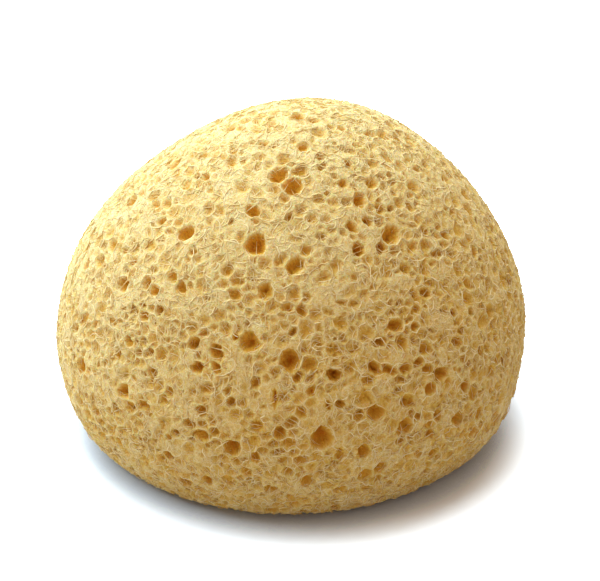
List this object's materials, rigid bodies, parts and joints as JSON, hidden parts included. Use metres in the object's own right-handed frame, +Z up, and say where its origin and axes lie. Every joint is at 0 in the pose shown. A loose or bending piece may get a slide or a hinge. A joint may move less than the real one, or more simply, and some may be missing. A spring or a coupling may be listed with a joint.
{
  "type": "natural fibre sponge",
  "caption": "Ball-shaped natural fibre sponge with open pores all over and a flat underside to rest on.",
  "frame": {"origin": "middle of the flat underside's box, on the surface that the sponge stands on", "axes": "+Z up from the underside to the crown, the shortest extent; +X along the widest extent; -Y towards the side that the picture shows"},
  "size_m": [0.0902, 0.0861, 0.065],
  "materials": {
    "sponge_fibre": "matt, open-pored dry fibre"
  },
  "bodies": {
    "root": {"sponge": "sponge_fibre"}
  },
  "joints": []
}
